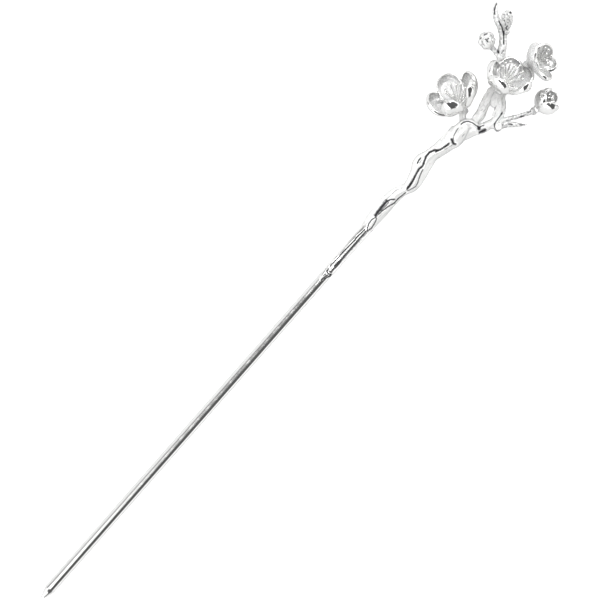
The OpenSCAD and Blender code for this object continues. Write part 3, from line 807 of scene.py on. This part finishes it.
# Share of its full width that a petal has at its foot. A petal's breadth under 1 makes its outline fuller
# than an ellipse. Its belly starts this share of the way from its middle to its rim
PETAL_FOOT = 0.62
PETAL_BREADTH = 0.8
BELLY_FROM = 0.3
# How a face of a flower is finished, as the number of its material
BLASTED, BRIGHT = 0, 1
# The form of a flower's petals: radius across as a share of the width, how much more the end curls in than
# the foot, how far the belly stands out beyond that curve, how much painted shade darkens the corner under
# the rim and the whole inside, and how the outside is finished. The first three arches were fitted with
# the petals
Cup = namedtuple("Cup", "arch fold belly corner inside outside")
LEFT_CUP = Cup(0.54, 1.3, 0.6, 0.55, 0.2, BRIGHT)
MIDDLE_CUP = Cup(0.53, 1.3, 0.6, 1.3, 0.12, BRIGHT)
RIGHT_CUP = Cup(0.4, 1.0, 0.5, 0.3, 0, BLASTED)
BUD_RIGHT_CUP = Cup(0.52, 1.0, 0.2, 0.35, 0.05, BRIGHT)

# A petal's section in rows: how far out from its middle, how far over the middle of its sheet in half
# thicknesses, and painted shade, heaviest in the corner under the rim. The inside ends in a corner, from
# which the rim rolls over to the back
INSIDE = [(out, 1, 0.25 * max(0, (out - 0.6) / 0.22) ** 2) for out in np.linspace(0.06, 0.82, 15)]
INSIDE += [(0.85, 0.72, 1), (0.868, 0.7, 1)]
RIM = [(0.882, 1.0, 0.3)]
RIM += [(0.94 + 0.06 * math.cos(a), 1.25 * math.sin(a), 0) for a in np.radians(np.arange(90, -91, -15))]
BACK = [(out, -1.1, 0) for out in np.linspace(0.87, 0.06, 28)]
PETAL_SIDES = 108
PETAL_STEPS = 60
# How uneven petals bent by hand are, in millimetres, and how many waves of it a millimetre holds
UNEVEN = 0.03
UNEVEN_WAVES = 0.9
# How far every petal stays above the surface that the stick lies on
PETAL_CLEARANCE = 0.01


def petal(row, cup):
    """A cupped petal with a rounded rim, grown from the axis towards +X: points, faces, how each face is
    finished, and how much painted shade each point gets."""
    turn, rise, length, width, curl = row
    start = math.radians(rise - curl / 2)
    curl = math.radians(curl)
    arch = cup.arch * width
    around = turns(PETAL_SIDES)
    # The line along the middle of the petal, from its foot to its end
    steps = np.linspace(0, 1, PETAL_STEPS + 1)
    slope = start + curl * steps ** cup.fold
    forward = np.append(0, np.cumsum(np.cos(slope[1:]) + np.cos(slope[:-1]))) * length / (2 * PETAL_STEPS)
    upward = np.append(0, np.cumsum(np.sin(slope[1:]) + np.sin(slope[:-1]))) * length / (2 * PETAL_STEPS)

    def ring(out, lift):
        share = (1 + out * np.cos(around)) / 2
        lean = start + curl * share ** cup.fold
        half = width / 2 * (PETAL_FOOT + (1 - PETAL_FOOT) * np.sqrt(share))
        swing = out * np.sign(np.sin(around)) * np.abs(np.sin(around)) ** PETAL_BREADTH * half / arch
        normal = np.stack([-np.sin(lean) * np.cos(swing), -np.sin(swing), np.cos(lean) * np.cos(swing)], 1)
        height = (arch * (1 - np.cos(swing)))[:, None]
        middle = np.stack([np.interp(share, steps, forward), arch * np.sin(swing),
                           np.interp(share, steps, upward)], 1)
        middle += height * np.stack([-np.sin(lean), np.zeros(PETAL_SIDES), np.cos(lean)], 1)
        beyond = max(0, out - BELLY_FROM) / (1 - BELLY_FROM)
        out_by = cup.belly * math.sin(math.pi * beyond) * np.sqrt(share)
        return middle + (lift * PETAL_THICKNESS / 2 - out_by)[:, None] * normal

    section = [*INSIDE, *RIM, *BACK]
    rings = np.array([ring(out, lift) for out, lift, _ in section])
    points, faces = skin(rings, rings[0].mean(0), rings[-1].mean(0))
    blasted, bright = len(INSIDE) * PETAL_SIDES, len(RIM) * PETAL_SIDES
    finish = [BLASTED] * blasted + [BRIGHT] * bright
    finish += [cup.outside] * (len(faces) - len(finish))
    # Painted shade of each point: the third column of its row, none at the two end points
    painted_shade = np.concatenate([[0], np.repeat([row[2] for row in section], PETAL_SIDES), [0]])
    return turned_z(points, turn), faces, finish, np.maximum(cup.corner * painted_shade, cup.inside)


# A stamen: the radius of its filament at the foot, how much less that is at the head, how far the filament
# bows, how far its ends stand out, and its head's radius and height as a share of its width
FILAMENT_RADIUS = 0.29
FILAMENT_TAPER = 0.1
FILAMENT_BOW = 0.25
FILAMENT_END = 0.05
HEAD_RADIUS = 0.39
HEAD_STRETCH = 1.1


def stamen(row):
    """A tapered filament with a round head, bent a little outwards."""
    turn, lean, length = row
    steps = np.linspace(1, 0, 12)
    bow = FILAMENT_BOW * np.sin(np.pi * steps)
    rings = [level_ring(FILAMENT_RADIUS - FILAMENT_TAPER * t, length * t, 16) - [b, 0, 0]
             for t, b in zip(steps, bow)]
    filament = skin(rings, [0, 0, length + FILAMENT_END], [0, 0, -FILAMENT_END])
    points, faces = join([filament, bead((0, 0, length), HEAD_RADIUS, stretch=HEAD_STRETCH)])
    return turned_z(turned_y(points, lean), turn), faces


# A calyx: its sepals and how deep they are pressed in, as a share of its radius; and how far under the
# flower's seat its middle lies, as a share of its diameter
CALYX_SIDES = 60
SEPALS = 5
SEPAL_RELIEF = 0.05
CALYX_DROP = 0.15


def calyx(diameter):
    """The round cup under the petals, with soft sepals pressed into it."""
    lobes = 1 - SEPAL_RELIEF * (1 - np.cos(SEPALS * turns(CALYX_SIDES))) / 2
    rings = [level_ring(diameter / 2 * math.cos(a) * lobes, diameter / 2 * math.sin(a), CALYX_SIDES)
             for a in np.radians(np.linspace(80, -80, 25))]
    points, faces = skin(rings, [0, 0, diameter / 2], [0, 0, -diameter / 2])
    return points - [0, 0, CALYX_DROP * diameter], faces


def make_blossom(name, flower, petals, stamens, cup):
    shells, finish, painted_shade = [], [], []
    for row in petals:
        points, faces, kinds, kept = petal(row, cup)
        shells.append((points, faces))
        finish += kinds
        painted_shade.append(kept)
    for points, faces in [*[stamen(row) for row in stamens], calyx(flower.calyx)]:
        shells.append((points, faces))
        finish += [BRIGHT] * len(faces)
        painted_shade.append(np.zeros(len(points)))
    points, faces = join(shells)
    points = seated(points, flower)
    mesh = mesh_of(name, points, faces)
    # Petals bent by hand are never quite even, which breaks up what they mirror
    uneven = np.array([noise.noise(Vector(UNEVEN_WAVES * p)) for p in points])
    points += UNEVEN * uneven[:, None] * normals_of(mesh)
    points[:, 2] = np.maximum(points[:, 2], PETAL_CLEARANCE)
    move_points(mesh, points + SHOULDER)
    # Painted shade for the frosted inside, darkest in the corner under the rim
    write_values(mesh, "painted_shade", np.concatenate(painted_shade))
    mesh.polygons.foreach_set("material_index", finish)
    return finish_piece(name + "_petals", mesh, [FROSTED, BUFFED], [name])


make_blossom("blossom_left", LEFT, LEFT_PETALS, LEFT_STAMENS, LEFT_CUP)
make_blossom("blossom_middle", MIDDLE, MIDDLE_PETALS, MIDDLE_STAMENS, MIDDLE_CUP)
make_blossom("blossom_right", RIGHT, RIGHT_PETALS, RIGHT_STAMENS, RIGHT_CUP)
make_blossom("bud_right", BUD_RIGHT, BUD_RIGHT_PETALS, BUD_RIGHT_STAMENS, BUD_RIGHT_CUP)


# Closed buds: folded petals over sepals. Lobes: how far out, how high, radius; leaves: turn, size

FOLDED_PETALS = [(0, 1), (69, 0.95), (147, 1.02), (214, 0.97), (290, 1.01)]
FOLDED_SEPALS = [(33, 0.98), (111, 1.02), (181, 0.96), (250, 1), (328, 0.95)]
BUD_SMALL_PETAL = [(0.5, 0.8, 0.8), (1, 2.2, 1.3), (0.5, 3.3, 0.9)]
BUD_SMALL_SEPAL = [(0.3, 0, 0.7), (1.5, 1.2, 0.6)]
BUD_TOP_PETAL = [(0.4, 0.6, 0.7), (0.75, 2, 0.8), (0.65, 3.6, 0.65)]
BUD_TOP_SEPAL = [(0.3, 0, 0.5), (1, 1.3, 0.4)]


def folded_leaf(lobes, turn, size):
    """A leaf drawn smoothly through its round lobes."""
    # A limb that rose straight up would have no side to start from, so each lobe lies a hair beside the last
    rows = [(size * out, 0.001 * i, size * high, size * r) for i, (out, high, r) in enumerate(lobes)]
    points, faces = limb(rows, sides=28, pitch=0.15)
    return turned_z(points, turn), faces


# Creases of the closed buds, seen from above: their line, half width, depth, how much patina they keep
BUD_SMALL_CREASES = [
    ([(66.5, 9.45), (67, 9.4), (67.6, 9)], 0.2, 0.16, 1),
    ([(65.2, 9.6), (65.9, 9.45)], 0.16, 0.14, 1),
    ([(66.05, 8.75), (66.15, 8.1), (65.95, 7.35)], 0.2, 0.18, 1),
    ([(66.2, 8.25), (66.95, 7.95)], 0.17, 0.16, 1),
    ([(65.25, 8.9), (64.75, 8.3), (64.75, 7.5)], 0.12, 0.12, 0.6),
    ([(65.7, 7.95), (65.35, 7.5)], 0.12, 0.1, 0.6),
    ([(67.85, 8.35), (67.7, 7.6), (66.95, 7.2), (66.75, 6.5)], 0.14, 0.14, 0.6),
    ([(68.2, 7.9), (67.8, 6.9)], 0.12, 0.12, 0.5),
]
BUD_TOP_CREASES = [
    ([(74.9, 8.6), (74.9, 7.75)], 0.26, 0.2, 1),
    ([(73.2, 9.5), (73.6, 9), (73.2, 8.5), (72.6, 8.6), (72.6, 9.1)], 0.12, 0.12, 0.7),
    ([(72.2, 6.65), (71.45, 6.6), (71.2, 5.8)], 0.18, 0.14, 1),
    ([(72.5, 8.3), (72.2, 7.5), (71.7, 6.9)], 0.13, 0.12, 0.7),
    ([(73.7, 7.7), (73.3, 7.05), (72.5, 6.8)], 0.13, 0.12, 0.6),
    ([(74.4, 9.3), (73.9, 8.2)], 0.1, 0.1, 0.5),
]

# How deep a crease of a closed bud is that keeps full patina, and the least and most patina that is left
BUD_CREASE = 0.07
BUD_PATINA = (0.28, 0.8)
# Ripples of a closed bud: waves to a millimetre, and their fractal noise, as the bark's
RIPPLE_WAVES = 1.5
RIPPLE_NOISE = (0.8, 2.1, 3)


def make_closed_bud(name, flower, petal_lobes, sepal_lobes, creases, ruffle, satin):
    shells = [folded_leaf(petal_lobes, turn, size) for turn, size in FOLDED_PETALS]
    shells += [folded_leaf(sepal_lobes, turn, size) for turn, size in FOLDED_SEPALS]
    shells.append(calyx(flower.calyx))
    mesh = fused(name, *join(shells), voxel=0.07, smooth=2)
    move_points(mesh, seated(points_of(mesh), flower))
    points, normals = points_of(mesh), normals_of(mesh)
    faces_up = rising(normals[:, 2], 0, 1 / 3)
    ripple = np.array([noise.fractal(Vector(RIPPLE_WAVES * p), *RIPPLE_NOISE) for p in points])
    cut, sunk = np.zeros(len(points)), np.zeros(len(points))
    for line, half, depth, kept in creases:
        signed, fade = across_line(points[:, :2], line, ease=0.15)
        near = np.exp(-(signed / half) ** 2) * fade * faces_up
        sunk = np.maximum(sunk, near * depth)
        cut = np.maximum(cut, near * kept)
    move_points(mesh, points + normals * (ruffle * ripple - sunk)[:, None])
    crease = np.clip(hollow_at(mesh, 12) / BUD_CREASE, *BUD_PATINA)
    write_values(mesh, "groove", np.maximum(cut, crease))
    write_values(mesh, "satin", np.full(len(points), satin))
    move_points(mesh, points_of(mesh) + SHOULDER)
    return finish_piece(name + "_leaves", mesh, [RUBBED_BACK], [name])


make_closed_bud("bud_small", BUD_SMALL, BUD_SMALL_PETAL, BUD_SMALL_SEPAL, BUD_SMALL_CREASES, 0.05, 0.7)
make_closed_bud("bud_top", BUD_TOP, BUD_TOP_PETAL, BUD_TOP_SEPAL, BUD_TOP_CREASES, 0.14, 0.35)


# The studio: a white table lit from below, a tent of soft light, a strip light along the pin, and in the
# tent black cards, a bright spot and a flag, which the silver mirrors

TABLE_HALF = 2
# The lamp under the table as the camera sees it, and as the silver mirrors it
LAMP_SEEN = 0.8
LAMP_MIRRORED = 0.19
TENT_STRENGTH = 2.5
# What the pin sees across itself, from its right horizon to its left: the tent, a black card, the strip
# light, a grey card, the tent. Rows: degrees from straight up, plus at the pin's left, and brightness
OVER_PIN = [
    (-80, 0.48), (-72, 0.46), (-66, 0.08), (-10, 0.055), (4, 0.06), (7, 1.0), (35, 1.0), (38, 0.14),
    (49, 0.14), (53, 0.36), (90, 0.41),
]
# How far along the pin's direction that reaches, and where it has faded out
OVER_PIN_REACH = (0.09, 0.2)
# The tent beyond it: brightest overhead, and dimmer at the left, where its cloth is doubled between these
# angles. Rows: height, from the horizon to straight up, and brightness
SINGLE_CLOTH = [(0.0, 0.37), (0.12, 0.42), (0.35, 0.88), (0.7, 1.05), (1.0, 1.1)]
DOUBLED_CLOTH = [(0.0, 0.37), (0.2, 0.41), (0.6, 0.5), (1.0, 0.6)]
DOUBLED_FROM, DOUBLED_TO = 5, 40
# What hangs in the tent: how far it reaches along the stick, from -1 at the horizon beyond the point to 1
# beyond the flowers, and across it in degrees, its brightness, and how soft its two ends along the stick are
Card = namedtuple("Card", "back front right left glow back_edge front_edge")
BLACK_CARDS = [
    Card(-0.66, 0.1, -67, -10, 0.045, 0.06, 0.03),
    Card(-0.64, -0.12, -82, 22, 0.045, 0.06, 0.05),
    Card(0.1, 0.58, -71, -6, 0.05, 0.03, 0.06),
    Card(0.66, 0.88, -60, -28, 0.1, 0.06, 0.04),
    Card(0.08, 0.34, 44, 72, 0.06, 0.03, 0.05),
    Card(-0.3, -0.06, 56, 76, 0.07, 0.05, 0.03),
]
BRIGHT_SPOT = Card(0.1, 0.32, -5, 14, 3.7, 0.02, 0.02)
STRIP_END = Card(-0.12, -0.04, -11, 7, 1.0, 0.025, 0.025)
PIN_FLAG = Card(-0.0525, 0.014, -13, 52, 0.12, 0.0475, 0.004)
CARD_EDGE = 0.016


def make_table():
    points = [(-TABLE_HALF, -TABLE_HALF, 0), (TABLE_HALF, -TABLE_HALF, 0),
              (TABLE_HALF, TABLE_HALF, 0), (-TABLE_HALF, TABLE_HALF, 0)]
    mesh = mesh_of("table", points, [(0, 1, 2, 3)])
    # Opal acrylic: matt, white and lit through
    material = bpy.data.materials.new("opal_acrylic")
    material.use_nodes = True
    tree = material.node_tree
    shader = tree.nodes["Principled BSDF"]
    shader.inputs["Base Color"].default_value = tint("#d6d6d6")
    shader.inputs["Roughness"].default_value = 0.6
    shader.inputs["Emission Color"].default_value = tint("#ffffff")
    # The lamp under the table washes out the shadows that the camera sees, and shows less in the silver
    seen = add(tree, "ShaderNodeLightPath").outputs["Is Camera Ray"]
    lamp = add(tree, "ShaderNodeMapRange", {"Value": seen, "To Min": LAMP_MIRRORED, "To Max": LAMP_SEEN})
    tree.links.new(lamp.outputs["Result"], shader.inputs["Emission Strength"])
    mesh.materials.append(material)
    table = bpy.data.objects.new("table", mesh)
    bpy.context.scene.collection.objects.link(table)


def across(degrees):
    """An angle from straight up as a share of the way from the right horizon to the left."""
    return 0.5 + degrees / 180


def between(tree, value, low, high, low_edge, high_edge):
    """1 where a value lies between two limits and 0 beyond them, with soft edges."""
    rise = add(tree, "ShaderNodeMapRange", {
        "Value": value, "From Min": low - low_edge, "From Max": low + low_edge},
        interpolation_type="SMOOTHSTEP")
    drop = add(tree, "ShaderNodeMapRange", {
        "Value": value, "From Min": high - high_edge, "From Max": high + high_edge,
        "To Min": 1, "To Max": 0}, interpolation_type="SMOOTHSTEP")
    return add(tree, "ShaderNodeMath", {
        0: rise.outputs["Result"], 1: drop.outputs["Result"]}, operation="MULTIPLY").outputs["Value"]


def light_studio():
    world = bpy.data.worlds.new("studio")
    bpy.context.scene.world = world
    world.use_nodes = True
    tree = world.node_tree
    tree.nodes.clear()
    way = add(tree, "ShaderNodeTexCoord").outputs["Generated"]
    along, aside, up = add(tree, "ShaderNodeSeparateXYZ", {"Vector": way}).outputs
    # Angle from straight up towards the left of the pin, from 0 at its right horizon to 1 at its left
    tilt = add(tree, "ShaderNodeMath", {0: aside, 1: up}, operation="ARCTAN2")
    place = add(tree, "ShaderNodeMath", {
        0: tilt.outputs["Value"], 1: 1 / math.pi, 2: 0.5},
        operation="MULTIPLY_ADD", use_clamp=True).outputs["Value"]
    over_pin = add(tree, "ShaderNodeValToRGB", {"Fac": place}, stops=[
        (across(degrees), glow) for degrees, glow in OVER_PIN])
    far = add(tree, "ShaderNodeMath", {0: along}, operation="ABSOLUTE")
    reach = add(tree, "ShaderNodeMapRange", {
        "Value": far.outputs["Value"], "From Min": OVER_PIN_REACH[0], "From Max": OVER_PIN_REACH[1],
        "To Min": 1, "To Max": 0}, interpolation_type="SMOOTHSTEP")
    single = add(tree, "ShaderNodeValToRGB", {"Fac": up}, stops=SINGLE_CLOTH)
    double = add(tree, "ShaderNodeValToRGB", {"Fac": up}, stops=DOUBLED_CLOTH)
    doubled = add(tree, "ShaderNodeMapRange", {
        "Value": place, "From Min": across(DOUBLED_FROM), "From Max": across(DOUBLED_TO)},
        interpolation_type="SMOOTHSTEP")
    tent = add(tree, "ShaderNodeMix", {
        FACTOR: doubled.outputs["Result"], UNDER: single.outputs["Color"], OVER: double.outputs["Color"]},
        data_type="RGBA")
    studio = add(tree, "ShaderNodeMix", {
        FACTOR: reach.outputs["Result"], UNDER: tent.outputs[MIXED], OVER: over_pin.outputs["Color"]},
        data_type="RGBA")
    for card in [*BLACK_CARDS, BRIGHT_SPOT, STRIP_END, PIN_FLAG]:
        shape = add(tree, "ShaderNodeMath", {
            0: between(tree, along, card.back, card.front, card.back_edge, card.front_edge),
            1: between(tree, place, across(card.right), across(card.left), CARD_EDGE, CARD_EDGE)},
            operation="MULTIPLY")
        studio = add(tree, "ShaderNodeMix", {
            FACTOR: shape.outputs["Value"], UNDER: studio.outputs[MIXED],
            OVER: (card.glow, card.glow, card.glow, 1)}, data_type="RGBA")
    mirrored = add(tree, "ShaderNodeBackground", {"Color": studio.outputs[MIXED], "Strength": TENT_STRENGTH})
    plain = add(tree, "ShaderNodeBackground", {"Color": (1, 1, 1, 1), "Strength": 1.0})
    seen = add(tree, "ShaderNodeLightPath").outputs["Is Camera Ray"]
    both = add(tree, "ShaderNodeMixShader", {0: seen, 1: mirrored.outputs[0], 2: plain.outputs[0]})
    add(tree, "ShaderNodeOutputWorld", {"Surface": both.outputs[0]})


make_table()
light_studio()
bpy.context.scene.view_settings.view_transform = "Standard"
